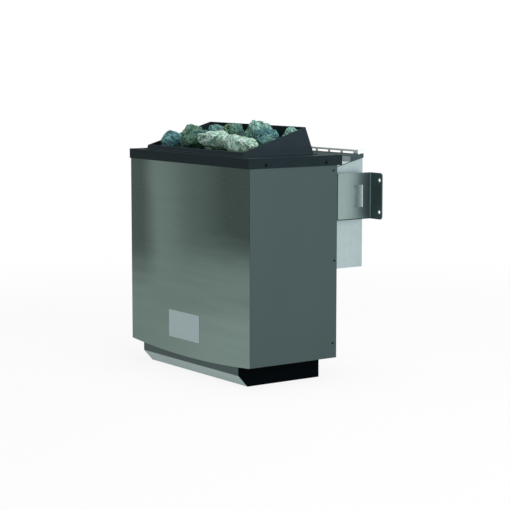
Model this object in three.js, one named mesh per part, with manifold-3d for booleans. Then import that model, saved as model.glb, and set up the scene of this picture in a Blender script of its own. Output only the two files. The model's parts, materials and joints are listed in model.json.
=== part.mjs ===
// Wall-hung combi sauna heater: a sheet-metal body with a stone hopper on top, an evaporator tank behind it
// and a folded air tray below. Millimetres, +Z up, the front faces -Y.
// The origin lies on the flat underside of the tray, below the middle of the body.

import * as THREE from 'three';
import { ConvexGeometry } from 'three/addons/geometries/ConvexGeometry.js';
import { mergeVertices } from 'three/addons/utils/BufferGeometryUtils.js';
import Module from 'manifold-3d';

const wasm = await Module();
wasm.setup();

// Clearance between pieces that seat on each other, and how far a cutter runs past the face it cuts
const seatGap = 0.3;
const cutOver = 1;

// Body panels
const bodyWidth = 410;
const bodyDepth = 200;
const panelHeight = 362; // from the panels' lower corners to the collar
const panelSheet = 1.2;
const panelReturn = 14; // folded edge of a panel
const frontSag = 9; // how far the front's lower edge bows down

// Folded tray below the body
const trayInset = 38.5; // from the body's side to the tray's end
const traySetback = 3.5; // from the front panel to the tray's front
const trayBand = 20; // upright front strip
const trayChamferRun = 20;
const trayChamferDrop = 22;
const trayRearInset = 12; // from the body's back to the tray's open rear
const traySheet = 1.5;

// Floor of the heating chamber
const baseRise = 12; // above the panels' lower corners
const baseSheet = 1.2;
const baseFlange = 14;
const airSlotWidth = 10;
const airSlotLength = 120;
const airSlotPitch = 22;
const airSlotsPerSide = 4;

// Heat shield round the elements
const linerSideGap = 10; // from the body's side
const linerFrontGap = 10;
const linerRearGap = 12;
const linerTopGap = 12; // below the collar
const linerSheet = 1;

// Tubular heaters
const heaterRadius = 4.2;
const heaterBend = 16;
const heaterCount = 3;
const heaterPitch = 42;
const heaterHalfSpan = 145;
const heaterFootHalf = 42; // from the middle to where an end goes through the floor
const heaterFootRise = 34; // height of the lower run above the floor
const heaterTopGap = 24; // from the top run's axis to the hopper's well
const heaterTail = 16; // how far an end reaches below the floor

// Electrical connection below the floor
const terminalBoxWidth = 150;
const terminalBoxDepth = 126;
const terminalBoxHeight = 40;
const terminalBoxSheet = 1.5;
const terminalBlockWidth = 46;
const terminalBlockDepth = 96;
const terminalBlockHeight = 16;
const terminalWays = 5;
const glandRadius = 9;
const glandHexRadius = 13;
const glandHexLength = 7;
const glandLength = 19;
const glandCapRadius = 10;

// Black collar round the top of the body
const collarHeight = 19;
const collarSheet = 1.5;
const collarRearOverhang = 10;

// Stone hopper
const hopperSideInset = 39; // from the body's side to the foot of the wall
const hopperFrontInset = 13.5;
const hopperRearInset = 25;
const hopperFrontRise = 8.5;
const hopperRearRise = 51;
const hopperSideLean = 6.5; // how far a wall leans in on its way up
const hopperFrontLean = 2;
const hopperRearLean = 15;
const hopperSheet = 1.5;
const hopperRim = 5; // flange that lies on the collar
const wellDepth = 45;
const wellLedge = 9;

// Rod grid under the stones
const grateRod = 3; // radius
const gratePitch = 24;
const grateRunners = 3;
const grateWeld = 1; // how deep the rods run into each other

// Loose stones
const stoneLength = 52;
const stoneWidth = 47;
const stoneHeight = 54;
const stoneCorners = 22;
const stoneBlockiness = 0.7; // from 0, round, to 1, a block
const stoneTilt = 0.4; // radians
const stoneTwist = 0.9; // radians by which a corner may stray round the stone
const stoneRagged = 0.2; // share of the reach by which a corner may draw in
const stoneTrim = 0.1; // share by which a lower stone may fall short of its place
const stoneShades = [0.85, 1, 1.15, 0.92, 1.07];
const frontStoneShare = 0.68; // height of the lower stones along the hopper's front
const stoneSeed = 7;

// Evaporator tank
const tankSideInset = 20; // from the body's side
const tankDepth = 76;
const tankDrop = 197; // from the collar's lower edge to the tank's bottom
const tankFrontDrop = 9; // from the collar's lower edge to the tank's front edge
const tankRearRise = 10; // from the collar's lower edge to the tank's rear edge
const tankSheet = 1.2;
const tankShelf = 12; // fixed strip of the tank's top, under the collar

// Loose lid: sloping front, raised rear and a slotted upstand
const lidSheet = 1.2;
const lidStep = 9; // how far the rear part stands above the slope
const lidStepDepth = 18; // from the step back to the upstand
const lidSteamSlit = 10.5; // between the upstand and the tank's rear wall
const lidUpstand = 7.6;
const lidRearOverhang = 1;
const lidSlotLength = 33;
const lidSlotHeight = 3.8;
const lidSlotPitch = 39;
const lidSlotDrop = 2.2; // below the top of the upstand

// Tank heater, probe and drain
const tankHeaterRise = 32; // above the tank's floor
const tankHeaterHalfSpan = 135;
const tankHeaterWallGap = 24; // from the rear wall to the long run's axis
const tankHeaterBend = 18;
const tankTailReach = 6; // how far ends reach in front of the rear panel
const probeRadius = 3;
const probeLength = 42;
const probeRise = 62;
const probeCollar = 8;
const drainPipe = 8;
const drainBody = 14;
const drainBodyHeight = 26;
const drainNeck = 10;
const drainNozzle = 6;
const drainNozzleLength = 16;
const drainSpindle = 4;
const drainSpindleHead = 6.5;
const drainHeadThickness = 2;
const leverThickness = 3;
const leverReach = 30;
const leverWidth = 10;
const leverBoss = 8;

// Wall brackets
const bracketInset = 2; // from the body's side
const bracketReach = 81; // from the body's back to the front of the wall flange
const bracketDrop = 16.5; // from the collar's lower edge
const bracketHeight = 87.5;
const bracketSheet = 2;
const bracketFlange = 34;
const bracketFoot = 15; // flange against the body
const bracketCorner = 6;
const wallHoleRadius = 3.5;
const wallHoleSpacing = 60;
const wallHoleEdge = 8; // from the flange's outer edge
const footHoleRadius = 2.2;
const windowWidth = 22;
const windowHeight = 41;
const windowFromFlange = 17;
const windowNick = 3; // relief in the window's rear corners

// Facets of round things
const roundSides = 16;
const tubeSides = 8;
const bendSteps = 4;

// Levels and half sizes that follow from these
const bodyHalf = bodyWidth / 2;
const depthHalf = bodyDepth / 2;
const bodyBottom = trayBand + trayChamferDrop;
const collarBase = bodyBottom + panelHeight;
const collarTop = collarBase + collarHeight;
const panelTop = collarTop - collarSheet - seatGap;
const returnOuter = bodyHalf - panelSheet - seatGap;
const returnInner = returnOuter - panelSheet;
const frontInside = -depthHalf + panelSheet;
const rearInside = depthHalf - 2 * panelSheet - seatGap;
const baseUnder = bodyBottom + baseRise;
const baseTop = baseUnder + baseSheet;
const hopperHalf = bodyHalf - hopperSideInset;
const hopperFront = -depthHalf + hopperFrontInset;
const hopperRear = depthHalf - hopperRearInset;
const wellBottom = collarTop - wellDepth;
const grateTop = wellBottom + hopperSheet + seatGap + 2 * grateRod;
const tankHalf = bodyHalf - tankSideInset;
const tankFront = depthHalf + seatGap;
const tankRear = tankFront + tankDepth;
const tankFloor = collarBase - tankDrop;
const tankFrontTop = collarBase - tankFrontDrop;
const tankRearTop = collarBase + tankRearRise;

// Turns a closed geometry into a solid that can be joined and cut
function solid(geometry) {
  const bare = geometry.clone();
  bare.deleteAttribute('normal');
  bare.deleteAttribute('uv');
  const merged = mergeVertices(bare, 1e-4);
  const corners = merged.index.array;
  const triangles = [];
  for (let i = 0; i < corners.length; i += 3) {
    const [a, b, c] = [corners[i], corners[i + 1], corners[i + 2]];
    if (a !== b && b !== c && c !== a) triangles.push(a, b, c);
  }
  const vertProperties = new Float32Array(merged.attributes.position.array);
  const triVerts = new Uint32Array(triangles);
  return new wasm.Manifold(new wasm.Mesh({ numProp: 3, vertProperties, triVerts }));
}

// Turns a solid back into a flat-shaded geometry
function geometryOf(body) {
  const { vertProperties, triVerts } = body.getMesh();
  const geometry = new THREE.BufferGeometry();
  geometry.setAttribute('position', new THREE.BufferAttribute(new Float32Array(vertProperties), 3));
  geometry.setIndex(new THREE.BufferAttribute(new Uint32Array(triVerts), 1));
  const faceted = geometry.toNonIndexed();
  faceted.computeVertexNormals();
  return faceted;
}

function outline(points) {
  return new THREE.Shape(points.map((point) => new THREE.Vector2(...point)));
}

// Prisms: the outline lies across the named axis and runs from one place on it to another
function prismZ(shape, from, to) {
  const geometry = new THREE.ExtrudeGeometry(shape, { depth: to - from, bevelEnabled: false });
  return solid(geometry.translate(0, 0, from));
}

function prismX(shape, from, to) {
  const geometry = new THREE.ExtrudeGeometry(shape, { depth: to - from, bevelEnabled: false });
  const turn = new THREE.Matrix4().makeBasis(
    new THREE.Vector3(0, 1, 0),
    new THREE.Vector3(0, 0, 1),
    new THREE.Vector3(1, 0, 0),
  );
  return solid(geometry.applyMatrix4(turn).translate(from, 0, 0));
}

function prismY(shape, from, to) {
  const geometry = new THREE.ExtrudeGeometry(shape, { depth: to - from, bevelEnabled: false });
  return solid(geometry.rotateX(Math.PI / 2).translate(0, to, 0));
}

function box(x0, x1, y0, y1, z0, z1) {
  const geometry = new THREE.BoxGeometry(x1 - x0, y1 - y0, z1 - z0);
  return solid(geometry.translate((x0 + x1) / 2, (y0 + y1) / 2, (z0 + z1) / 2));
}

// Round bar between two points
function rod(from, to, radius, sides = roundSides) {
  const start = new THREE.Vector3(...from);
  const run = new THREE.Vector3(...to).sub(start);
  const geometry = new THREE.CylinderGeometry(radius, radius, run.length(), sides);
  const turn = new THREE.Quaternion().setFromUnitVectors(new THREE.Vector3(0, 1, 0), run.clone().normalize());
  geometry.applyQuaternion(turn);
  const middle = start.addScaledVector(run, 0.5);
  return solid(geometry.translate(middle.x, middle.y, middle.z));
}

// Turned piece standing on its axis: the profile holds radius and height pairs
function turned(profile, sides = roundSides) {
  const points = profile.map((point) => new THREE.Vector2(...point));
  return new THREE.LatheGeometry(points, sides).rotateX(Math.PI / 2);
}

// Section of a sheet folded along a path, with its thickness to the left of the path
function foldedSheet(path, thickness) {
  const points = path.map((point) => new THREE.Vector2(...point));
  const other = points.map((point, i) => {
    const before = points[Math.max(i - 1, 0)];
    const after = points[Math.min(i + 1, points.length - 1)];
    const arriving = (i > 0 ? point.clone().sub(before) : after.clone().sub(point)).normalize();
    const leaving = (i < points.length - 1 ? after.clone().sub(point) : arriving.clone()).normalize();
    const leftOf = (way) => new THREE.Vector2(-way.y, way.x);
    const mitre = leftOf(arriving).add(leftOf(leaving)).normalize();
    return point.clone().addScaledVector(mitre, thickness / mitre.dot(leftOf(leaving)));
  });
  return new THREE.Shape([...points, ...other.reverse()]);
}

// Centre line with rounded corners: a straight run is one step, a bend is several
class BentLine extends THREE.Curve {
  constructor(corners, bend) {
    super();
    const points = corners.map((corner) => new THREE.Vector3(...corner));
    this.stations = [points[0]];
    for (let i = 1; i < points.length - 1; i += 1) {
      const back = points[i - 1].clone().sub(points[i]).normalize();
      const on = points[i + 1].clone().sub(points[i]).normalize();
      const centre = points[i].clone().addScaledVector(back, bend).addScaledVector(on, bend);
      for (let step = 0; step <= bendSteps; step += 1) {
        const angle = (step / bendSteps) * (Math.PI / 2);
        const along = on.clone().multiplyScalar(-Math.cos(angle) * bend);
        const across = back.clone().multiplyScalar(-Math.sin(angle) * bend);
        this.stations.push(centre.clone().add(along).add(across));
      }
    }
    this.stations.push(points[points.length - 1]);
  }

  get steps() {
    return this.stations.length - 1;
  }

  getUtoTmapping(u) {
    return u;
  }

  getPoint(t, target = new THREE.Vector3()) {
    const place = Math.min(t * this.steps, this.steps - 1e-9);
    const i = Math.floor(place);
    return target.lerpVectors(this.stations[i], this.stations[i + 1], place - i);
  }

  getTangent(t, target = new THREE.Vector3()) {
    const i = Math.round(t * this.steps);
    const here = this.stations[i];
    const arriving = i > 0 ? here.clone().sub(this.stations[i - 1]).normalize() : new THREE.Vector3();
    const leaving = i < this.steps ? this.stations[i + 1].clone().sub(here).normalize() : new THREE.Vector3();
    return target.copy(arriving).add(leaving).normalize();
  }
}

// Round tube along a bent line
function tube(line, radius) {
  const ring = [];
  for (let i = 0; i < tubeSides; i += 1) {
    const angle = (i / tubeSides) * 2 * Math.PI;
    ring.push([radius * Math.cos(angle), radius * Math.sin(angle)]);
  }
  return new THREE.ExtrudeGeometry(outline(ring), { steps: line.steps, extrudePath: line });
}

// Repeatable random numbers from 0 to 1
function seeded(seed) {
  let state = seed >>> 0;
  return () => {
    state = (Math.imul(state, 1664525) + 1013904223) >>> 0;
    return state / 4294967296;
  };
}

// Finishes
function finish(color, roughness, metalness) {
  return new THREE.MeshStandardMaterial({ color, roughness, metalness });
}

const brushedSteel = () => finish(0x83857d, 0.32, 0.95);
const sideSteel = () => finish(0x55625f, 0.45, 0.7);
const blackCoat = () => finish(0x1d2327, 0.55, 0.3);
const paleSheet = () => finish(0xb4c2c4, 0.4, 0.7);
const zincSheet = () => finish(0x9aa19f, 0.5, 0.8);
const heaterSheath = () => finish(0x4a4742, 0.5, 0.9);
const darkPlastic = () => finish(0x26282a, 0.6, 0);
const brass = () => finish(0xb59a55, 0.35, 0.9);
const redGrip = () => finish(0x8c2a22, 0.5, 0.1);
const rock = (shade) => finish(new THREE.Color(0x7d948c).multiplyScalar(shade), 0.9, 0);

const heater = new THREE.Group();
heater.name = 'sauna_heater';

function piece(name, shape, material, parent = heater) {
  const geometry = shape.isBufferGeometry ? shape : geometryOf(shape);
  const mesh = new THREE.Mesh(geometry, material);
  mesh.name = name;
  parent.add(mesh);
  return mesh;
}

// Front: flat sheet with a bowed lower edge and a return behind each upright edge
function frontPanel() {
  const face = new THREE.Shape();
  const chord = bodyHalf;
  const bow = (chord * chord + frontSag * frontSag) / (2 * frontSag);
  const spread = Math.asin(chord / bow);
  face.moveTo(bodyHalf, panelTop);
  face.lineTo(-bodyHalf, panelTop);
  face.lineTo(-bodyHalf, bodyBottom);
  const middle = bodyBottom - frontSag + bow;
  face.absarc(0, middle, bow, -Math.PI / 2 - spread, -Math.PI / 2 + spread, false);
  face.closePath();
  let panel = prismY(face, -depthHalf, frontInside);
  for (const side of [-1, 1]) {
    const edges = [side * returnInner, side * returnOuter].sort((a, b) => a - b);
    const fold = box(...edges, -depthHalf + panelSheet / 2, frontInside + panelReturn, bodyBottom, panelTop);
    panel = panel.add(fold);
  }
  return panel;
}

function sidePanel(side) {
  const section = foldedSheet(
    [
      [side * bodyHalf, frontInside + seatGap],
      [side * bodyHalf, depthHalf],
      [side * (bodyHalf - panelSheet - panelReturn), depthHalf],
    ],
    side * panelSheet,
  );
  return prismZ(section, bodyBottom, panelTop);
}

// Places where the tank's heater and probe come through the tank and the rear panel
const tankHeaterLevel = tankFloor + tankHeaterRise;
const probeLevel = tankFloor + probeRise;

function cutTankFittings(sheet) {
  const from = rearInside - panelSheet;
  const to = tankFront + 2 * tankSheet;
  let cut = sheet;
  for (const side of [-1, 1]) {
    const x = side * tankHeaterHalfSpan;
    const hole = rod([x, from, tankHeaterLevel], [x, to, tankHeaterLevel], heaterRadius + seatGap, tubeSides);
    cut = cut.subtract(hole);
  }
  return cut.subtract(rod([0, from, probeLevel], [0, to, probeLevel], probeRadius + seatGap));
}

function rearPanel() {
  const section = foldedSheet(
    [
      [-returnOuter, rearInside - panelReturn],
      [-returnOuter, rearInside + panelSheet],
      [returnOuter, rearInside + panelSheet],
      [returnOuter, rearInside - panelReturn],
    ],
    -panelSheet,
  );
  return cutTankFittings(prismZ(section, bodyBottom, panelTop));
}

// Heaters stand in a row from front to back, with both ends through the floor
const heaterRow = Array.from({ length: heaterCount }, (_, i) => (i - (heaterCount - 1) / 2) * heaterPitch);

function basePlate() {
  const halfWidth = returnInner - seatGap;
  const section = foldedSheet(
    [
      [-halfWidth, baseUnder + baseFlange],
      [-halfWidth, baseUnder],
      [halfWidth, baseUnder],
      [halfWidth, baseUnder + baseFlange],
    ],
    baseSheet,
  );
  let plate = prismY(section, frontInside + seatGap, rearInside - seatGap);
  const below = baseUnder - baseSheet;
  const above = baseTop + baseSheet;
  for (const y of heaterRow) {
    for (const x of [-heaterFootHalf, heaterFootHalf]) {
      plate = plate.subtract(rod([x, y, below], [x, y, above], heaterRadius + seatGap, tubeSides));
    }
  }
  for (const side of [-1, 1]) {
    for (let i = 0; i < airSlotsPerSide; i += 1) {
      const x = side * (terminalBoxWidth / 2 + airSlotPitch * (i + 0.5));
      const half = airSlotWidth / 2;
      const slot = box(x - half, x + half, -airSlotLength / 2, airSlotLength / 2, below, above);
      plate = plate.subtract(slot);
    }
  }
  return plate;
}

function innerLiner() {
  const halfWidth = bodyHalf - linerSideGap;
  const front = -depthHalf + linerFrontGap;
  const rear = depthHalf - linerRearGap;
  const from = baseTop + seatGap;
  const to = collarBase - linerTopGap;
  const outside = box(-halfWidth, halfWidth, front, rear, from, to);
  const inset = linerSheet;
  const inside = box(
    -halfWidth + inset,
    halfWidth - inset,
    front + inset,
    rear - inset,
    from - cutOver,
    to + cutOver,
  );
  return outside.subtract(inside);
}

function heatingElement(y) {
  const low = baseTop + heaterFootRise;
  const high = wellBottom - heaterTopGap;
  const end = baseUnder - heaterTail;
  const half = [
    [heaterFootHalf, y, end],
    [heaterFootHalf, y, low],
    [heaterHalfSpan, y, low],
    [heaterHalfSpan, y, high],
  ];
  const mirrored = half.map(([x, ...rest]) => [-x, ...rest]).reverse();
  return tube(new BentLine([...half, ...mirrored], heaterBend), heaterRadius);
}

// Open-topped box under the floor, with the gland in its rear wall
const terminalBoxTop = baseUnder - seatGap;
const terminalBoxFloor = terminalBoxTop - terminalBoxHeight;
const glandLevel = terminalBoxFloor + terminalBoxHeight / 2;

function terminalBox() {
  const halfWidth = terminalBoxWidth / 2;
  const halfDepth = terminalBoxDepth / 2;
  const wall = terminalBoxSheet;
  const outside = box(-halfWidth, halfWidth, -halfDepth, halfDepth, terminalBoxFloor, terminalBoxTop);
  const inside = box(
    -halfWidth + wall,
    halfWidth - wall,
    -halfDepth + wall,
    halfDepth - wall,
    terminalBoxFloor + wall,
    terminalBoxTop + wall,
  );
  const at = (y) => [0, y, glandLevel];
  const hole = rod(at(halfDepth - 2 * wall), at(halfDepth + wall), glandRadius + seatGap);
  return outside.subtract(inside).subtract(hole);
}

function terminalBlock() {
  const floor = terminalBoxFloor + terminalBoxSheet + seatGap;
  const top = floor + terminalBlockHeight;
  const halfWidth = terminalBlockWidth / 2;
  const halfDepth = terminalBlockDepth / 2;
  let block = box(-halfWidth, halfWidth, -halfDepth, halfDepth, floor, top);
  const pitch = terminalBlockDepth / terminalWays;
  const wayHalf = pitch / 3;
  for (let i = 0; i < terminalWays; i += 1) {
    const y = -halfDepth + pitch * (i + 0.5);
    for (const side of [-1, 1]) {
      const edges = [side * (halfWidth / 2), side * (halfWidth + cutOver)].sort((a, b) => a - b);
      const shoulder = top - terminalBlockHeight / 3;
      const step = box(...edges, y - wayHalf, y + wayHalf, shoulder, top + cutOver);
      block = block.subtract(step);
    }
  }
  return block;
}

// Screwed inlet: thread through the wall, hexagon outside, round cap with the lead's bore
function cableGland() {
  const wall = terminalBoxDepth / 2;
  const inside = wall - 3 * terminalBoxSheet;
  const outside = wall + seatGap;
  const at = (y) => [0, y, glandLevel];
  const thread = rod(at(inside), at(outside + glandHexLength), glandRadius);
  const hexagon = rod(at(outside), at(outside + glandHexLength), glandHexRadius, 6);
  const cap = rod(at(outside), at(outside + glandLength), glandCapRadius);
  const bore = rod(at(inside - cutOver), at(outside + glandLength + cutOver), glandRadius / 2);
  return thread.add(hexagon).add(cap).subtract(bore);
}

// Tray: upright strip, slope and flat bottom in one folded sheet, open behind
const trayFront = -depthHalf + traySetback;
const trayRear = depthHalf - trayRearInset;
const trayTop = baseUnder - seatGap;
const trayEndOuter = bodyHalf - trayInset;

function bottomTray() {
  const section = foldedSheet(
    [
      [trayFront, trayTop],
      [trayFront, trayChamferDrop],
      [trayFront + trayChamferRun, 0],
      [trayRear, 0],
    ],
    traySheet,
  );
  const halfWidth = trayEndOuter - traySheet - seatGap;
  return prismX(section, -halfWidth, halfWidth);
}

function trayEnd(side) {
  const plate = outline([
    [trayFront, trayTop],
    [trayFront, trayChamferDrop],
    [trayFront + trayChamferRun, 0],
    [trayRear, 0],
    [trayRear, trayTop],
  ]);
  const faces = [side * trayEndOuter, side * (trayEndOuter - traySheet)].sort((a, b) => a - b);
  return prismX(plate, ...faces);
}

function topCollar() {
  const half = bodyHalf + seatGap + collarSheet;
  const front = -depthHalf - seatGap - collarSheet;
  const rear = depthHalf + collarRearOverhang;
  const wall = collarSheet;
  const outside = box(-half, half, front, rear, collarBase, collarTop);
  const inside = box(
    -half + wall,
    half - wall,
    front + wall,
    rear - wall,
    collarBase - cutOver,
    collarTop - wall,
  );
  const mouth = box(
    -hopperHalf - seatGap,
    hopperHalf + seatGap,
    hopperFront - seatGap,
    hopperRear + seatGap,
    collarBase,
    collarTop + cutOver,
  );
  return outside.subtract(inside).subtract(mouth);
}

// Leaning block between the hopper's feet and its sloping upper edge, drawn in by an inset
function hopperBlock(inset, below, above) {
  const base = collarTop;
  const sideSlope = hopperSideLean / hopperRearRise;
  const frontSlope = hopperFrontLean / hopperFrontRise;
  const rearSlope = hopperRearLean / hopperRearRise;
  const top = base + hopperRearRise + above;
  const across = outline([
    [-hopperHalf + inset, base - below],
    [hopperHalf - inset, base - below],
    [hopperHalf - inset, base],
    [hopperHalf - inset - sideSlope * (top - base), top],
    [-hopperHalf + inset + sideSlope * (top - base), top],
    [-hopperHalf + inset, base],
  ]);
  const front = hopperFront + inset;
  const rear = hopperRear - inset;
  const frontTop = hopperFrontRise + above;
  const rearTop = hopperRearRise + above;
  const along = outline([
    [front, base - below],
    [rear, base - below],
    [rear, base],
    [rear - rearSlope * rearTop, base + rearTop],
    [front + frontSlope * frontTop, base + frontTop],
    [front, base],
  ]);
  return prismX(along, -bodyHalf, bodyHalf).intersect(prismY(across, -bodyDepth, bodyDepth));
}

function stoneHopper() {
  const wall = hopperSheet;
  let hopper = hopperBlock(0, wellDepth, 0).subtract(hopperBlock(wall, wellDepth + cutOver, cutOver));
  const rim = box(
    -hopperHalf - hopperRim,
    hopperHalf + hopperRim,
    hopperFront - hopperRim,
    hopperRear + hopperRim,
    collarTop + seatGap,
    collarTop + seatGap + wall,
  );
  hopper = hopper.add(rim.subtract(hopperBlock(wall / 2, wellDepth, cutOver)));
  const ledge = box(-hopperHalf, hopperHalf, hopperFront, hopperRear, wellBottom, wellBottom + wall);
  const throat = box(
    -hopperHalf + wall + wellLedge,
    hopperHalf - wall - wellLedge,
    hopperFront + wall + wellLedge,
    hopperRear - wall - wellLedge,
    wellBottom - cutOver,
    wellBottom + wall + cutOver,
  );
  return hopper.add(ledge.subtract(throat));
}

// Cross rods lie on the well's front and rear ledges, runners are welded under them
function stoneGrate() {
  const throatHalf = hopperHalf - hopperSheet - wellLedge;
  const runnerHalf = throatHalf - seatGap;
  const halfWidth = runnerHalf - grateRod;
  const front = hopperFront + hopperSheet + seatGap;
  const rear = hopperRear - hopperSheet - seatGap;
  const level = grateTop - grateRod;
  const gaps = Math.floor((2 * halfWidth) / gratePitch);
  const runnerLevel = level - 2 * grateRod + grateWeld;
  const runnerFront = front + wellLedge + 2 * grateRod;
  const runnerSpan = rear - wellLedge - 2 * grateRod - runnerFront;
  const bars = [];
  for (let i = 0; i <= gaps; i += 1) {
    const x = -halfWidth + (i * 2 * halfWidth) / gaps;
    bars.push(rod([x, front, level], [x, rear, level], grateRod, tubeSides));
  }
  for (let i = 0; i < grateRunners; i += 1) {
    const y = runnerFront + (runnerSpan * i) / (grateRunners - 1);
    bars.push(rod([-runnerHalf, y, runnerLevel], [runnerHalf, y, runnerLevel], grateRod, tubeSides));
  }
  return bars.reduce((joined, bar) => joined.add(bar));
}

// Broken rock: the hull of jittered points, scaled to its length, width and height, standing on z = 0
function stoneGeometry(length, width, height, random) {
  const goldenTurn = Math.PI * (3 - Math.sqrt(5));
  const points = [];
  for (let i = 0; i < stoneCorners; i += 1) {
    const up = 1 - (2 * (i + 0.5)) / stoneCorners;
    const turn = i * goldenTurn + stoneTwist * random();
    const ring = Math.sqrt(1 - up * up);
    const corner = new THREE.Vector3(ring * Math.cos(turn), ring * Math.sin(turn), up);
    const flattest = Math.max(Math.abs(corner.x), Math.abs(corner.y), Math.abs(corner.z));
    const reach = 1 - stoneRagged * random();
    points.push(corner.multiplyScalar(reach / flattest ** stoneBlockiness));
  }
  const tilt = new THREE.Euler(...[0, 1, 2].map(() => (2 * random() - 1) * stoneTilt));
  points.forEach((corner) => corner.applyEuler(tilt));
  const extent = new THREE.Box3().setFromPoints(points);
  const size = extent.getSize(new THREE.Vector3());
  const middle = extent.getCenter(new THREE.Vector3());
  const scale = new THREE.Vector3(length, width, height).divide(size);
  points.forEach((corner) => corner.sub(middle).multiply(scale).add(new THREE.Vector3(0, 0, height / 2)));
  return new ConvexGeometry(points);
}

// Lowers a stone until it meets something, and leaves the seat gap
function settle(geometry, x, y, obstacles) {
  const step = 4;
  const halvings = 7;
  const meets = (z) => {
    const placed = geometry.clone().translate(x, y, z);
    placed.computeBoundingBox();
    const near = obstacles.filter((other) => other.box.intersectsBox(placed.boundingBox));
    if (near.length === 0) return false;
    const stone = solid(placed);
    const hit = near.some((other) => !other.body.intersect(stone).isEmpty());
    stone.delete();
    return hit;
  };
  let free = collarTop + hopperRearRise + 3 * stoneHeight;
  while (!meets(free - step)) free -= step;
  let blocked = free - step;
  for (let i = 0; i < halvings; i += 1) {
    const middle = (free + blocked) / 2;
    if (meets(middle)) blocked = middle;
    else free = middle;
  }
  return geometry.translate(x, y, free + seatGap);
}

function obstacle(geometry) {
  geometry.computeBoundingBox();
  return { box: geometry.boundingBox, body: solid(geometry) };
}

// Stones on top of the first layer, front ones first: place across and from front to back, from -1 to 1,
// and the share of the full stone's plan and height
const upperStones = [
  { across: -0.97, back: -0.85, size: 1.08, tall: 0.75 },
  { across: -0.42, back: -0.7, size: 1.02, tall: 0.7 },
  { across: 0.13, back: -0.74, size: 1.28, tall: 0.66 },
  { across: 0.83, back: -0.78, size: 1.24, tall: 0.74 },
  { across: -0.93, back: 0.12, size: 0.96, tall: 0.76 },
  { across: -0.64, back: 0.72, size: 0.86, tall: 0.76 },
  { across: -0.27, back: 0.9, size: 0.94, tall: 0.72 },
  { across: 0.76, back: 0.42, size: 0.88, tall: 0.88 },
  { across: 0.36, back: 0.98, size: 1.02, tall: 1.08 },
  { across: 0.95, back: 0.97, size: 0.58, tall: 0.8 },
];

function stonePile(seats) {
  const random = seeded(stoneSeed);
  const obstacles = seats.map(obstacle);
  const lean = hopperSheet + hopperSideLean;
  const halfWidth = hopperHalf - lean;
  const front = hopperFront + hopperSheet + hopperFrontLean;
  const rear = hopperRear - hopperSheet - hopperRearLean;
  const columns = Math.floor((2 * halfWidth) / stoneLength);
  const rows = Math.floor((rear - front) / stoneWidth);
  const columnPitch = (2 * halfWidth) / columns;
  const rowPitch = (rear - front) / rows;
  const stones = [];
  const lay = (geometry, x, y) => {
    const settled = settle(geometry, x, y, obstacles);
    obstacles.push(obstacle(settled));
    stones.push(settled);
  };
  const trimmed = (size) => size * (1 - stoneTrim * random()) - seatGap;
  for (let row = 0; row < rows; row += 1) {
    for (let column = 0; column < columns; column += 1) {
      const length = trimmed(columnPitch);
      const width = trimmed(rowPitch);
      const height = trimmed(stoneHeight) * (row === 0 ? frontStoneShare : 1);
      const stone = stoneGeometry(length, width, height, random);
      lay(stone, -halfWidth + columnPitch * (column + 0.5), front + rowPitch * (row + 0.5));
    }
  }
  const middle = (front + rear) / 2;
  for (const { across, back, size, tall } of upperStones) {
    const length = stoneLength * size;
    const width = stoneWidth * size;
    const x = across * (halfWidth - length / 2);
    const y = middle + (back * (rear - front - width)) / 2;
    lay(stoneGeometry(length, width, stoneHeight * tall, random), x, y);
  }
  return stones;
}

// Height of the tank's sloping top at a place from front to back
const tankSlope = (tankRearTop - tankFrontTop) / tankDepth;
const tankTopAt = (y) => tankFrontTop + tankSlope * (y - tankFront);

function evaporatorTank() {
  const wall = tankSheet;
  const outside = outline([
    [tankFront, tankFloor],
    [tankRear, tankFloor],
    [tankRear, tankRearTop],
    [tankFront, tankFrontTop],
  ]);
  const shelfEnd = tankFront + tankShelf;
  const inside = outline([
    [tankFront + wall, tankFloor + wall],
    [tankRear - wall, tankFloor + wall],
    [tankRear - wall, tankRearTop + wall],
    [shelfEnd, tankTopAt(shelfEnd) + wall],
    [shelfEnd, tankTopAt(shelfEnd) - wall],
    [tankFront + wall, tankFrontTop - wall],
  ]);
  const room = prismX(inside, -tankHalf + wall, tankHalf - wall);
  const shell = prismX(outside, -tankHalf, tankHalf).subtract(room);
  const at = (z) => [0, drainMiddle, z];
  const drain = rod(at(tankFloor - cutOver), at(tankFloor + 2 * wall), drainNozzle);
  return cutTankFittings(shell).subtract(drain);
}

// Lid: slope, step, raised part, upstand with steam slots and a narrow top flange in one folded sheet,
// with an end cap on each side of the raised part
const lidFront = Math.max(tankFront + tankShelf, depthHalf + collarRearOverhang) + seatGap;
const lidUpright = tankRear - tankSheet - lidSteamSlit;
const lidRiser = lidUpright - lidStepDepth;

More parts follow.
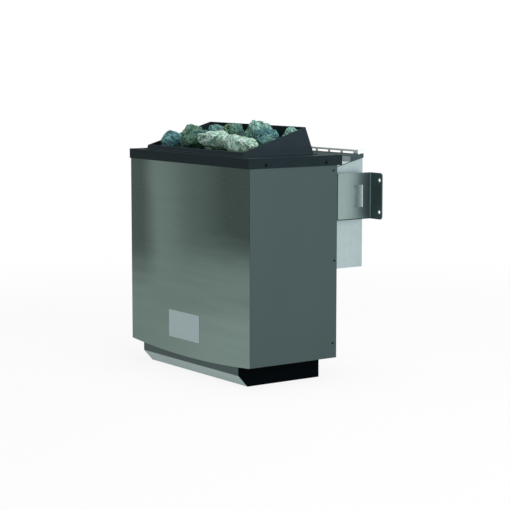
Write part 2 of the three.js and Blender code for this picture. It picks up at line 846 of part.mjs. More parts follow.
function evaporatorLid() {
  const resting = (y) => tankTopAt(y) + seatGap;
  const raised = (y) => resting(y) + lidStep;
  const rear = tankRear + lidRearOverhang;
  const lidTop = raised(lidUpright) + lidUpstand;
  const section = foldedSheet(
    [
      [lidFront, resting(lidFront)],
      [lidRiser, resting(lidRiser)],
      [lidRiser, raised(lidRiser)],
      [lidUpright, raised(lidUpright)],
      [lidUpright, lidTop],
      [rear, lidTop],
    ],
    lidSheet,
  );
  const halfWidth = tankHalf + seatGap + lidSheet;
  let lid = prismX(section, -halfWidth, halfWidth);
  const cap = outline([
    [lidRiser - lidSheet / 2, resting(lidRiser)],
    [rear, resting(rear)],
    [rear, raised(rear)],
    [lidRiser - lidSheet / 2, raised(lidRiser)],
  ]);
  for (const side of [-1, 1]) {
    const faces = [side * halfWidth, side * (halfWidth - lidSheet)].sort((a, b) => a - b);
    lid = lid.add(prismX(cap, ...faces));
  }
  const count = Math.floor((2 * halfWidth) / lidSlotPitch);
  for (let i = 0; i < count; i += 1) {
    const x = (i - (count - 1) / 2) * lidSlotPitch;
    const half = lidSlotLength / 2;
    const top = lidTop - lidSlotDrop;
    const slot = box(
      x - half,
      x + half,
      lidUpright - 2 * lidSheet,
      lidUpright + 2 * lidSheet,
      top - lidSlotHeight,
      top,
    );
    lid = lid.subtract(slot);
  }
  return lid;
}

function evaporatorElement() {
  const end = rearInside - tankTailReach;
  const run = tankRear - tankHeaterWallGap;
  const line = new BentLine(
    [
      [-tankHeaterHalfSpan, end, tankHeaterLevel],
      [-tankHeaterHalfSpan, run, tankHeaterLevel],
      [tankHeaterHalfSpan, run, tankHeaterLevel],
      [tankHeaterHalfSpan, end, tankHeaterLevel],
    ],
    tankHeaterBend,
  );
  return tube(line, heaterRadius);
}

// Probe with a collar that seats on the inside of the tank's front wall
function dryRunSensor() {
  const end = rearInside - tankTailReach;
  const seat = tankFront + tankSheet + seatGap;
  const stem = rod([0, end, probeLevel], [0, end + probeLength, probeLevel], probeRadius);
  return stem.add(rod([0, seat, probeLevel], [0, seat + probeRadius, probeLevel], probeCollar, 6));
}

// Tap under the tank: pipe, round body and nozzle on one upright axis, with the spindle to the right
const drainMiddle = tankFront + tankDepth / 2;
const drainTop = tankFloor - seatGap;
const drainBodyTop = drainTop - drainNeck;
const drainBodyBottom = drainBodyTop - drainBodyHeight;
const spindleLevel = (drainBodyTop + drainBodyBottom) / 2;
const leverSeat = drainBody + seatGap;

function drainValve() {
  const profile = [
    [0, drainBodyBottom - drainNozzleLength],
    [drainNozzle, drainBodyBottom - drainNozzleLength],
    [drainNozzle, drainBodyBottom - drainNozzle],
    [drainPipe, drainBodyBottom - drainNozzle],
    [drainPipe, drainBodyBottom],
    [drainBody, drainBodyBottom + drainBodyHeight / 5],
    [drainBody, drainBodyTop - drainBodyHeight / 5],
    [drainPipe, drainBodyTop],
    [drainPipe, drainTop],
    [0, drainTop],
  ];
  const body = solid(turned(profile).translate(0, drainMiddle, 0));
  const headStart = leverSeat + leverThickness + seatGap;
  const at = (x) => [x, drainMiddle, spindleLevel];
  const spindle = rod(at(0), at(headStart + drainHeadThickness), drainSpindle);
  const head = rod(at(headStart), at(headStart + drainHeadThickness), drainSpindleHead, 6);
  return body.add(spindle).add(head);
}

// Flat lever with a round boss over the spindle, closed when it lies level
function drainLever() {
  const at = (x) => [x, drainMiddle, spindleLevel];
  const face = leverSeat + leverThickness;
  const boss = rod(at(leverSeat), at(face), leverBoss);
  const half = leverWidth / 2;
  const tip = drainMiddle - leverReach;
  const blade = new THREE.Shape();
  blade.moveTo(drainMiddle, spindleLevel - half);
  blade.lineTo(drainMiddle, spindleLevel + half);
  blade.lineTo(tip + half, spindleLevel + half);
  blade.absarc(tip + half, spindleLevel, half, Math.PI / 2, (3 * Math.PI) / 2, false);
  blade.closePath();
  const bore = rod(at(leverSeat - cutOver), at(face + cutOver), drainSpindle + seatGap);
  return boss.add(prismX(blade, leverSeat, face)).subtract(bore);
}

// Bracket: foot on the body's back, plate to the wall, and an outward flange with two wall holes
function wallBracket(side) {
  const top = collarBase - bracketDrop;
  const bottom = top - bracketHeight;
  const foot = depthHalf + seatGap;
  const wall = depthHalf + bracketReach;
  const outer = bodyHalf - bracketInset;
  const edge = outer + bracketFlange;
  const inner = outer - bracketFoot;
  const section = foldedSheet(
    [
      [side * inner, foot],
      [side * outer, foot],
      [side * outer, wall],
      [side * edge, wall],
    ],
    side * bracketSheet,
  );
  const face = new THREE.Shape();
  const corner = bracketCorner;
  face.moveTo(inner, bottom);
  face.lineTo(edge - corner, bottom);
  face.absarc(edge - corner, bottom + corner, corner, -Math.PI / 2, 0, false);
  face.lineTo(edge, top - corner);
  face.absarc(edge - corner, top - corner, corner, 0, Math.PI / 2, false);
  face.lineTo(inner, top);
  face.closePath();
  const mirroredFace = outline(face.getPoints(bendSteps).map(({ x, y }) => [side * x, y]));
  const rear = wall + bracketSheet + cutOver;
  let bracket = prismZ(section, bottom, top).intersect(prismY(mirroredFace, foot - cutOver, rear));
  const middle = (top + bottom) / 2;
  const windowRear = wall - windowFromFlange;
  const windowFront = windowRear - windowWidth;
  const windowTop = middle + windowHeight / 2;
  const windowBottom = middle - windowHeight / 2;
  const window = outline([
    [windowFront, windowBottom],
    [windowRear - windowNick, windowBottom],
    [windowRear, windowBottom - windowNick],
    [windowRear, windowTop + windowNick],
    [windowRear - windowNick, windowTop],
    [windowFront, windowTop],
  ]);
  const through = [side * (outer - 2 * bracketSheet), side * (outer + bracketSheet)].sort((a, b) => a - b);
  bracket = bracket.subtract(prismX(window, ...through));
  for (const end of [-1, 1]) {
    const z = middle + (end * wallHoleSpacing) / 2;
    const wallHole = side * (edge - wallHoleEdge);
    const footHole = side * (inner + (bracketFoot - bracketSheet) / 2);
    const footRear = foot + bracketSheet + cutOver;
    bracket = bracket
      .subtract(rod([wallHole, wall - cutOver, z], [wallHole, rear, z], wallHoleRadius))
      .subtract(rod([footHole, foot - cutOver, z], [footHole, footRear, z], footHoleRadius, tubeSides));
  }
  return bracket;
}

const sides = { right: 1, left: -1 };

piece('front_panel', frontPanel(), brushedSteel());
piece('rear_panel', rearPanel(), zincSheet());
piece('base_plate', basePlate(), zincSheet());
piece('inner_liner', innerLiner(), zincSheet());
heaterRow.forEach((y, i) => piece(`heating_element_${i + 1}`, heatingElement(y), heaterSheath()));
piece('terminal_box', terminalBox(), zincSheet());
piece('terminal_block', terminalBlock(), darkPlastic());
piece('cable_gland', cableGland(), darkPlastic());
piece('bottom_tray', bottomTray(), paleSheet());
piece('top_collar', topCollar(), blackCoat());
for (const [name, side] of Object.entries(sides)) {
  piece(`side_panel_${name}`, sidePanel(side), sideSteel());
  piece(`tray_end_${name}`, trayEnd(side), blackCoat());
  piece(`wall_bracket_${name}`, wallBracket(side), brushedSteel());
}

const hopper = piece('stone_hopper', stoneHopper(), blackCoat());
const grate = piece('stone_grate', stoneGrate(), heaterSheath());
const stones = new THREE.Group();
heater.add(stones);
stonePile([hopper.geometry, grate.geometry]).forEach((geometry, i) => {
  const number = String(i + 1).padStart(2, '0');
  piece(`stone_${number}`, geometry, rock(stoneShades[i % stoneShades.length]), stones);
});

const evaporator = new THREE.Group();
heater.add(evaporator);
piece('evaporator_tank', evaporatorTank(), paleSheet(), evaporator);
piece('evaporator_lid', evaporatorLid(), paleSheet(), evaporator);
piece('evaporator_element', evaporatorElement(), heaterSheath(), evaporator);
piece('dry_run_sensor', dryRunSensor(), brushedSteel(), evaporator);
piece('drain_valve', drainValve(), brass(), evaporator);
piece('drain_lever', drainLever(), redGrip(), evaporator);

export default heater;
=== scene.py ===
"""Looks of a wall-hung combi sauna heater: rough stones, brushed and coated sheet, screws, a bare plate."""

import json
import math
import random
from typing import NamedTuple

import bmesh
import bpy
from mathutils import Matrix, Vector, noise


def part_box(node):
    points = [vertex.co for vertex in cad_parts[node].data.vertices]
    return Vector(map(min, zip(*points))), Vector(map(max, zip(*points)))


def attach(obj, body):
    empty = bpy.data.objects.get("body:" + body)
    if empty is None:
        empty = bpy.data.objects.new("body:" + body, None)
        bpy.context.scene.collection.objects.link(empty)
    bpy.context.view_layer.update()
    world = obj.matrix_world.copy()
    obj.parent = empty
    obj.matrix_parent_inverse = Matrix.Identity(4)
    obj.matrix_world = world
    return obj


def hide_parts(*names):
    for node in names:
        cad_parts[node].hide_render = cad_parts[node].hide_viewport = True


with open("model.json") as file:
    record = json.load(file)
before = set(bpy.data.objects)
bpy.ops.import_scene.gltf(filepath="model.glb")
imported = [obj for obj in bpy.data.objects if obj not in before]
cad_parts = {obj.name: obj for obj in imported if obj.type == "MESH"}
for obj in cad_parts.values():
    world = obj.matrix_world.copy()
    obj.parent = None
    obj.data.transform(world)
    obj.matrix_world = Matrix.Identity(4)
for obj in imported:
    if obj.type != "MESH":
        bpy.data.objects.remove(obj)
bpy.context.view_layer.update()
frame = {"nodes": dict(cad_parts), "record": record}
nodes = frame["nodes"]
bodies = frame["record"]["behaviour"]["bodies"]
body_of = {node: body for body, members in bodies.items() for node in members}
slot_of = {part["node"]: part["material_slot"] for part in frame["record"]["subparts"]}

scene = bpy.context.scene
scene.view_settings.view_transform = "Standard"

# Corners of the pieces that carry painted marks, the plate or screws
front_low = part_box("front_panel")[0]
side_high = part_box("side_panel_right")[1]
collar_low, collar_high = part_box("top_collar")
lid_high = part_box("evaporator_lid")[1]
bracket_low, bracket_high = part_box("wall_bracket_right")
tray_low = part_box("bottom_tray")[0]

# Sheet: pieces with eased edges, how wide the easing is, what counts as flat and what as a fold
SHEET_PIECES = (
    "front_panel",
    "side_panel_right",
    "side_panel_left",
    "top_collar",
    "stone_hopper",
    "evaporator_tank",
    "evaporator_lid",
    "wall_bracket_right",
    "wall_bracket_left",
    "bottom_tray",
    "tray_end_right",
    "tray_end_left",
)
SHEET_EDGE = 0.00035
FLAT_WITHIN = math.radians(0.5)
FOLD_FROM = math.radians(25)
BRACKET_FLANGE = 0.034
LID_CAP_SHEET = 0.0012

# Plate on the front: how far it reaches, how thick it is, and its corners
PLATE_LEFT, PLATE_RIGHT = -0.066, 0.040
PLATE_FOOT, PLATE_TOP = 0.065, 0.1175
PLATE_SHEET = 0.0003
PLATE_CORNER = 0.0015
PLATE_CORNER_STEPS = 4

# Screws: seats along Y and Z, alike on both sides, and the radius and height of the heads
COLLAR_SCREW_LEVEL = collar_low.z + 0.006
COLLAR_SCREW_SEATS = ((-0.064, COLLAR_SCREW_LEVEL), (0.0725, COLLAR_SCREW_LEVEL))
COLLAR_SCREW_SIZE = (0.0028, 0.0012)
SIDE_SCREW_SEATS = ((0.091, 0.3945), (0.094, 0.226), (0.091, 0.070))
SIDE_SCREW_SIZE = (0.0018, 0.0008)

# Screw heads: sides, the crown as a share of the head, how far it rises, its recess and how deep that goes
SCREW_SIDES = 20
CROWN_SHARE = 0.72
CROWN_RISE = 0.3
RECESS_SHARE = 0.55
RECESS_DEPTH = 0.6


class Mark(NamedTuple):
    """A mark on the stones: millimetres between marks, metres of height, and the level that adds nothing."""

    spacing: float
    height: float
    level: float


CHIP = Mark(26, 0.0026, 0.3)
SCOOP = Mark(21, -0.0062, 0.3)
RIDGE = Mark(15, 0.0012, 1.1)
PIT = Mark(4.5, 0.0009, 0.0)

# Stones: seed, how far the marks may be shifted in millimetres, growth that makes up for the wear,
# the angle from which an edge stays sharp, and the tones of the stones that show most
STONE_SEED = 11
STONE_SHIFT = 50
STONE_GROWTH = 1.03
STONE_EDGE_FROM = math.radians(52)
STONE_TONES = {
    "stone_19": "teal",
    "stone_20": "moss",
    "stone_21": "straw",
    "stone_22": "straw",
    "stone_23": "moss",
    "stone_24": "teal",
    "stone_25": "moss",
    "stone_26": "teal",
    "stone_27": "mint",
    "stone_28": "mint",
}

# Studio: floor, how much of it is plain white near the part and where it is all white, and light from around
WHITE = (1, 1, 1)
FLOOR_TONE = (0.95, 0.955, 0.955)
FLOOR_HALF = 12
FLOOR_DROP = 0.0005
FLOOR_WHITE_NEAR = 0.88
FLOOR_WHITE_FROM, FLOOR_WHITE_BY = 0.5, 2.0
SURROUND_LIGHT = 0.36

# Camera of the photograph: a long lens, seen from the front right and a little above
CAMERA_PLACE = Vector((2.5735, -1.7596, 0.6020))
CAMERA_TARGET = Vector((0.074245, 0.005144, 0.229714))
CAMERA_LENS = 114.47
CAMERA_SENSOR = 36
CAMERA_REACH = 50


class Wire:
    """An output in a node tree that can stand in a sum."""

    def __init__(self, sheet, socket):
        self.sheet = sheet
        self.socket = socket

    def beside(self, output):
        """Another output of the same node."""
        return Wire(self.sheet, self.socket.node.outputs[output])

    def _sum(self, operation, first, second=0.0):
        return self.sheet.node("ShaderNodeMath", {0: first, 1: second}, operation=operation)

    def __add__(self, other):
        return self._sum("ADD", self, other)

    def __radd__(self, other):
        return self._sum("ADD", other, self)

    def __sub__(self, other):
        return self._sum("SUBTRACT", self, other)

    def __rsub__(self, other):
        return self._sum("SUBTRACT", other, self)

    def __mul__(self, other):
        return self._sum("MULTIPLY", self, other)

    def __rmul__(self, other):
        return self._sum("MULTIPLY", other, self)

    def __abs__(self):
        return self._sum("ABSOLUTE", self)


class NodeSheet:
    """A node tree with one way to add nodes."""

    def __init__(self, tree):
        self.tree = tree

    def node(self, kind, inputs=None, output=0, **settings):
        """A node of a kind: its settings are made first, then the values or links of its sockets."""
        made = self.tree.nodes.new(kind)
        for name, value in settings.items():
            if name == "stops":
                self._set_stops(made.color_ramp, value)
            else:
                setattr(made, name, value)
        for name, value in (inputs or {}).items():
            if isinstance(value, Wire):
                self.tree.links.new(value.socket, made.inputs[name])
            else:
                made.inputs[name].default_value = value
        return Wire(self, made.outputs[output]) if made.outputs else None

    @staticmethod
    def _set_stops(ramp, stops):
        while len(ramp.elements) > 1:
            ramp.elements.remove(ramp.elements[-1])
        ramp.elements[0].position = stops[0][0]
        ramp.elements[0].color = rgba(stops[0][1])
        for position, colour in stops[1:]:
            ramp.elements.new(position).color = rgba(colour)

    def seen_rays(self):
        """1 for what the camera sees, straight, in a gloss or through glass."""
        path = self.node("ShaderNodeLightPath", output="Is Camera Ray")
        mirrored = path.beside("Is Glossy Ray") + path.beside("Is Transmission Ray")
        return self.node("ShaderNodeMath", {0: path, 1: mirrored}, operation="ADD", use_clamp=True)


class Finish(NodeSheet):
    """A procedural material on Object coordinates."""

    def __init__(self, name):
        self.material = bpy.data.materials.new(name)
        self.material.use_nodes = True
        super().__init__(self.material.node_tree)
        self.tree.nodes.clear()
        self.place = self.node("ShaderNodeTexCoord", output="Object")

    def grain(self, scale, detail, stretch=(1, 1, 1), roughness=0.55, distortion=0.0):
        """Noise about 0.5, squeezed along each axis by its stretch."""
        inputs = {
            "Vector": self.node("ShaderNodeMapping", {"Vector": self.place, "Scale": stretch}),
            "Scale": scale,
            "Detail": detail,
            "Roughness": roughness,
            "Distortion": distortion,
        }
        return self.node("ShaderNodeTexNoise", inputs, "Fac")

    def cells(self, scale, output="Distance"):
        return self.node("ShaderNodeTexVoronoi", {"Vector": self.place, "Scale": scale}, output)

    def spangle(self, scale):
        """One random value for each crystal."""
        return self.node("ShaderNodeSeparateColor", {0: self.cells(scale, "Color")})

    def along(self, axis):
        return self.node("ShaderNodeSeparateXYZ", {0: self.place}, axis)

    def ramp(self, value, *stops):
        return self.node("ShaderNodeValToRGB", {"Fac": value}, "Color", stops=stops)

    def within(self, value, low, high):
        """From 0 at low to 1 at high, eased at both ends."""
        inputs = {"Value": value, "From Min": low, "From Max": high}
        return self.node("ShaderNodeMapRange", inputs, interpolation_type="SMOOTHSTEP")

    def mix(self, share, first, second):
        """Two colours by the share of the second. The node keeps colours in inputs 6 and 7 and output 2."""
        first, second = (value if isinstance(value, Wire) else rgba(value) for value in (first, second))
        return self.node("ShaderNodeMix", {0: share, 6: first, 7: second}, 2, data_type="RGBA")

    def layers(self, ground, *coats):
        """A ground with other colours laid over it in turn, each by its share."""
        for share, colour in coats:
            ground = self.mix(share, ground, colour)
        return ground

    def relief(self, height, depth, strength=1.0):
        return self.node("ShaderNodeBump", {"Height": height, "Distance": depth, "Strength": strength})

    def surface(self, colour, roughness, metallic=0.0, normal=None, gloss=0.5, coat=0.0):
        inputs = {
            "Base Color": colour,
            "Roughness": roughness,
            "Metallic": metallic,
            "Specular IOR Level": gloss,
            "Coat Weight": coat,
        }
        if normal is not None:
            inputs["Normal"] = normal
        shader = self.node("ShaderNodeBsdfPrincipled", inputs)
        self.node("ShaderNodeOutputMaterial", {"Surface": shader})
        return self.material


def rgba(colour):
    return (*colour, 1.0)


def srgb(red, green, blue):
    """Linear colour of a value on the usual scale from 0 to 255."""
    def linear(value):
        value /= 255
        return value / 12.92 if value <= 0.04045 else ((value + 0.055) / 1.055) ** 2.4

    return tuple(linear(value) for value in (red, green, blue))


def brushed_front():
    """Stainless front, brushed across, its reflections painted into the colour: an upright painted highlight
    above that darkens to the right, a paler painted half below.
    """
    look = Finish("brushed_front")
    dark, pale = srgb(42, 60, 54), srgb(119, 140, 132)
    scratch, smear = srgb(150, 163, 159), srgb(58, 70, 65)
    waver = 0.05
    fall = 0.05
    sheen_left, sheen_crest, sheen_right = -0.165, -0.1, 0.03
    fine = look.grain(9.0, detail=6, stretch=(4, 40, 160), roughness=0.7)
    broad = look.grain(6.0, detail=3, stretch=(0.5, 1, 6))
    drift = look.grain(5.0, detail=2)
    across = look.along("X") + (drift - 0.5) * waver
    rightward = look.within(across, -0.2, 0.2)
    height = look.along("Z") + (broad - 0.5) * waver - rightward * fall
    # Painted reflection above: an upright band of painted highlight, a fainter band beside it, painted shade
    # to the right
    painted_sheen = look.within(across, sheen_left, sheen_crest) * look.within(across, sheen_right, sheen_crest)
    beyond = (1 - painted_sheen) * look.within(across, -0.14, -0.06)
    painted_fade = look.within(across, 0.0, 0.2)
    upper = 0.06 + painted_sheen * 0.5 + beyond * 0.18 - painted_fade * 0.34
    # Painted reflection below: paler towards the lower right, over a paler painted lower half
    painted_corner_light = rightward * look.within(height, 0.14, 0.04)
    lower = 0.69 + painted_corner_light * 0.26
    painted_pale_half = look.within(height, 0.248, 0.135)
    colour = look.layers(
        look.mix(upper + painted_pale_half * (lower - upper), dark, pale),
        ((fine - 0.4) * 0.35, scratch),
        ((broad - 0.45) * 0.5, smear),
    )
    normal = look.relief(fine, depth=0.00012, strength=0.4)
    return look.surface(colour, roughness=0.3 + 0.2 * fine, metallic=1.0, normal=normal)


def bracket_steel():
    """Brushed bracket sheet with painted shade towards the wall and on the wall flange, a painted highlight
    on the fold, and painted shadow lines in the gap by the side panel and along the bottom edge.
    """
    look = Finish("bracket_steel")
    plate_face = bracket_high.x - BRACKET_FLANGE
    wall = bracket_high.y
    foot = bracket_low.y
    lower_end = bracket_low.z
    fine = look.grain(9.0, detail=6, stretch=(160, 60, 5), roughness=0.7)
    blotch = look.grain(28.0, detail=3)
    outward = look.along("Y")
    # Painted shade: darker towards the wall, and darker on the wall flange
    painted_wall_shade = look.within(outward, wall - 0.065, wall - 0.007)
    flange = look.within(abs(look.along("X")), plate_face + 0.0004, plate_face + 0.0014)
    # Painted highlight along the fold by the wall
    fold = look.within(outward, wall - 0.0038, wall - 0.0030) * (1 - flange)
    # Painted shadow lines along the bottom edge and in the gap by the side panel
    painted_cut_shadow = look.within(look.along("Z"), lower_end + 0.0022, lower_end + 0.0012)
    painted_seam_shadow = look.within(outward, foot + 0.0039, foot + 0.0027)
    # Base tone, painted shade, painted highlight, brushing grain and blotches, then the painted shadow lines
    colour = look.layers(
        srgb(142, 161, 159),
        (painted_wall_shade, srgb(82, 100, 104)),
        (flange, srgb(89, 107, 108)),
        (fold, srgb(146, 162, 162)),
        ((fine - 0.35) * 0.4, srgb(160, 174, 172)),
        ((blotch - 0.45) * 0.5, srgb(76, 90, 90)),
        (painted_cut_shadow + painted_seam_shadow, srgb(46, 58, 58)),
    )
    normal = look.relief(fine, depth=0.0001, strength=0.4)
    return look.surface(colour, roughness=0.3 + 0.15 * fine, metallic=0.9, normal=normal)


def side_sheet():
    """Grey-green satin side sheet."""
    look = Finish("side_sheet")
    peel = look.grain(900.0, detail=2)
    blotch = look.grain(9.0, detail=4, stretch=(1, 1, 0.4))
    colour = look.mix(blotch, srgb(51, 70, 70), srgb(59, 78, 78))
    normal = look.relief(peel, depth=0.00008, strength=0.35)
    return look.surface(colour, roughness=0.42 + 0.14 * blotch, metallic=0.3, normal=normal)


def black_coat(name, ground, dusty, gloss):
    """Black powder coat, baked matt, a little paler where dust lies."""
    look = Finish(name)
    peel = look.grain(1500.0, detail=2)
    dust = look.grain(30.0, detail=5)
    colour = look.mix((dust - 0.45) * 0.7, ground, dusty)
    normal = look.relief(peel, depth=0.00012, strength=0.45)
    return look.surface(colour, roughness=0.45 + 0.2 * dust, normal=normal, gloss=gloss)


def pale_sheet():
    """Light bluish zinc-coated sheet with a faint spangle."""
    look = Finish("pale_sheet")
    spangle_share = 0.2
    drift = look.grain(8.0, detail=4)
    share = look.spangle(130.0) * spangle_share + drift * (1 - spangle_share)
    colour = look.mix(share, srgb(160, 178, 180), srgb(180, 197, 198))
    normal = look.relief(drift, depth=0.0002, strength=0.2)
    return look.surface(colour, roughness=0.32 + 0.16 * share, metallic=0.85, normal=normal)


def tray_sheet():
    """Tray sheet: pale slope and bottom, with painted shade on the upright band under the front."""
    look = Finish("tray_sheet")
    drift = look.grain(10.0, detail=4, stretch=(0.5, 1, 2))
    fine = look.grain(9.0, detail=6, stretch=(4, 60, 60), roughness=0.7)
    pale = look.mix(drift * 0.6 + fine * 0.4, srgb(126, 150, 147), srgb(154, 177, 174))
    # Painted shade on the upright band under the front panel
    painted_shade_strip = look.mix(drift, srgb(45, 62, 62), srgb(64, 83, 83))
    above_slope = look.within(look.along("Z"), tray_low.z + 0.0205, tray_low.z + 0.0225)
    colour = look.mix(above_slope, pale, painted_shade_strip)
    normal = look.relief(fine, depth=0.0001, strength=0.3)
    return look.surface(colour, roughness=0.34 + 0.14 * fine, metallic=0.6, normal=normal)


def lid_sheet():
    """Pale lid with painted shade on the part behind the step under its slots, a painted highlight above the
    sill of the slots, and darker end faces.
    """
    look = Finish("lid_sheet")
    step = lid_high.y - 0.0321
    slot_sill = lid_high.z - 0.00657
    cap = lid_high.x - LID_CAP_SHEET
    drift = look.grain(16.0, detail=4)
    stain = look.grain(40.0, detail=5, stretch=(0.4, 1, 1))
    pale = look.mix(drift, srgb(186, 201, 203), srgb(208, 220, 221))
    lid_dark_tone = look.mix(stain, srgb(46, 60, 62), srgb(84, 100, 102))
    height = look.along("Z")
    behind = look.within(look.along("Y"), step, step + 0.001)
    # Painted shade behind the step, below the sill of the slots
    painted_shade_under_slots = behind * look.within(height, slot_sill, slot_sill - 0.0007)
    # Painted highlight above the sill of the slots
    painted_highlight_crest = look.within(height, slot_sill - 0.0004, slot_sill + 0.0002)
    # Darker on the end faces in front of the step
    darker_ends = look.within(abs(look.along("X")), cap, cap + 0.001) * (1 - behind)
    colour = look.layers(pale, (painted_shade_under_slots, lid_dark_tone), (painted_highlight_crest, srgb(234, 242, 242)), (darker_ends, lid_dark_tone))
    return look.surface(colour, roughness=0.5 + 0.2 * stain, gloss=0.05)


def zinc_sheet():
    """Hidden sheet with a bold spangle and dull patches."""
    look = Finish("zinc_sheet")
    dull = look.grain(14.0, detail=5)
    colour = look.layers(
        srgb(134, 142, 142),
        (look.spangle(150.0) * 0.6 + dull * 0.4, srgb(160, 167, 167)),
        ((dull - 0.45) * 0.8, srgb(100, 105, 103)),
    )
    return look.surface(colour, roughness=0.34 + 0.22 * dull, metallic=0.7)


def heater_sheath():
    """Scaled tubular heater, browned by heat."""
    look = Finish("heater_sheath")
    scale = look.grain(120.0, detail=6)
    dark, brown, pale = srgb(40, 36, 34), srgb(82, 74, 68), srgb(110, 96, 84)
    colour = look.ramp(scale, (0.25, dark), (0.55, brown), (0.8, pale))
    normal = look.relief(scale, depth=0.0003, strength=0.5)
    return look.surface(colour, roughness=0.35 + 0.35 * scale, metallic=0.6, normal=normal)


def dark_plastic():
    """Moulded plastic with a fine spark-eroded grain."""
    look = Finish("dark_plastic")
    spark = look.grain(1400.0, detail=2)
    drift = look.grain(40.0, detail=3)
    colour = look.mix(drift, srgb(34, 36, 38), srgb(48, 50, 52))
    normal = look.relief(spark, depth=0.0001, strength=0.5)
    return look.surface(colour, roughness=0.5 + 0.15 * drift, normal=normal)


def tap_brass():
    """Tarnished brass of the drain tap."""
    look = Finish("tap_brass")
    tarnish = look.grain(70.0, detail=5)
    colour = look.ramp(tarnish, (0.3, srgb(126, 98, 48)), (0.6, srgb(196, 164, 92)))
    return look.surface(colour, roughness=0.2 + 0.3 * tarnish, metallic=0.9)


def red_grip():
    """Dipped red grip of the lever, worn darker."""
    look = Finish("red_grip")
    peel = look.grain(900.0, detail=2)
    wear = look.grain(60.0, detail=5)
    colour = look.mix((wear - 0.4) * 0.7, srgb(150, 38, 32), srgb(104, 24, 20))
    normal = look.relief(peel, depth=0.0001, strength=0.4)
    return look.surface(colour, roughness=0.35 + 0.2 * wear, normal=normal, coat=0.2)


def bare_plate():
    """Silver plate, satin, with fine level brushing."""
    look = Finish("bare_plate")
    fine = look.grain(10.0, detail=5, stretch=(6, 40, 220), roughness=0.7)
    colour = look.mix(fine, srgb(146, 167, 170), srgb(184, 202, 204))
    return look.surface(colour, roughness=0.4 + 0.15 * fine, metallic=0.4)


def black_screw():
    """Blackened screw, a little worn."""
    look = Finish("black_screw")
    wear = look.grain(500.0, detail=4)
    colour = look.mix((wear - 0.45) * 0.8, srgb(4, 8, 9), srgb(22, 28, 29))
    return look.surface(colour, roughness=0.35 + 0.2 * wear, gloss=0.06)


def rock(name, dark, middle, light, vein):
    """Broken olivine rock: mottled ground that turns bluish and straw, then veins, flecks, specks, grit."""
    look = Finish(name)
    bluish, straw = srgb(84, 142, 160), srgb(156, 184, 124)
    ground = look.grain(60.0, detail=10, roughness=0.75, distortion=0.6)
    crystals = look.cells(260.0)
    specks = look.grain(340.0, detail=5, roughness=0.8)
    flecks = look.grain(230.0, detail=5, roughness=0.8, distortion=0.5)
    streak = look.grain(26.0, detail=7, stretch=(1, 1.6, 2.4), roughness=0.65, distortion=1.4)
    turn = look.grain(17.0, detail=2)
    grit = look.spangle(290.0)
    gritty = look.within(streak, 0.36, 0.58)
    colour = look.layers(
        look.ramp(ground, (0.36, dark), (0.48, middle), (0.62, light)),
        (look.within(turn, 0.5, 0.64) * 0.45, bluish),
        (look.within(turn, 0.46, 0.34) * 0.45, straw),
        (look.within(streak, 0.57, 0.68) * 0.4, vein),
        (look.within(flecks, 0.51, 0.6) * 0.75, light),
        (look.within(specks, 0.54, 0.63) * 0.75, dark),
        (look.within(grit, 0.7, 0.76) * gritty * 0.8, light),
        (look.within(grit, 0.28, 0.22) * gritty * 0.8, dark),
    )
    normal = look.relief(ground + specks * 0.4 + flecks * 0.3 - crystals * 0.3, depth=0.0035)
    roughness = 0.9 - 0.25 * look.within(crystals, 0.3, 0.1)
    return look.surface(colour, roughness, normal=normal, gloss=0.3)


FINISHES = {
    "brushed_front": brushed_front(),
    "side_sheet": side_sheet(),
    "black_coat": black_coat("black_coat", srgb(30, 42, 46), srgb(47, 60, 65), gloss=0.04),
    "pale_sheet": pale_sheet(),
    "zinc_sheet": zinc_sheet(),
    "heater_sheath": heater_sheath(),
    "dark_plastic": dark_plastic(),
    "brass": tap_brass(),
    "red_grip": red_grip(),
}
BRACKET_STEEL = bracket_steel()
# The tray ends are black; this coat is darker still, as painted shade
SHADED_TRAY_END_COAT = black_coat("tray_end_shaded_coat", srgb(5, 9, 12), srgb(12, 16, 18), gloss=0.01)
OWN_FINISHES = {
    "wall_bracket_right": BRACKET_STEEL,
    "wall_bracket_left": BRACKET_STEEL,
    "bottom_tray": tray_sheet(),
    "evaporator_lid": lid_sheet(),
    "stone_hopper": black_coat("hopper_coat", srgb(42, 54, 60), srgb(57, 70, 77), gloss=0.04),
    "tray_end_right": SHADED_TRAY_END_COAT,
    "tray_end_left": SHADED_TRAY_END_COAT,
}
BARE_PLATE = bare_plate()
BLACK_SCREW = black_screw()

# Dark, middle, light and vein of each rock
ROCK_COLOURS = {
    "mint": ((28, 70, 64), (97, 151, 140), (186, 232, 216), (226, 246, 236)),
    "teal": ((16, 46, 50), (52, 97, 101), (124, 180, 180), (200, 230, 228)),
    "moss": ((22, 46, 36), (62, 100, 80), (124, 170, 142), (184, 214, 194)),
    "straw": ((58, 100, 84), (166, 214, 194), (226, 250, 236), (240, 250, 240)),
}
ROCKS = {
    tone: rock("rock_" + tone, *(srgb(*colour) for colour in colours))
    for tone, colours in ROCK_COLOURS.items()
}


def new_piece(name, mesh, material, body, slot, *stands_for):
    """A finished piece that rides on a body, in place of the nodes it stands for."""
    piece = bpy.data.objects.new(name, mesh)
    scene.collection.objects.link(piece)
    mesh.materials.clear()
    mesh.materials.append(material)
    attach(piece, body)
    if stands_for:
        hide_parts(*stands_for)


def merged_copy(node):
    """The node's own shape with its loose corners joined."""
    form = bmesh.new()
    form.from_mesh(nodes[node].data)
    bmesh.ops.remove_doubles(form, verts=form.verts, dist=1e-6)
    return form


def mesh_of(name, form):
    mesh = bpy.data.meshes.new(name)
    form.to_mesh(mesh)
    form.free()
    return mesh


def blank(name, mesh):
    """A passing object that modifiers work on."""
    held = bpy.data.objects.new(name, mesh)
    scene.collection.objects.link(held)
    return held


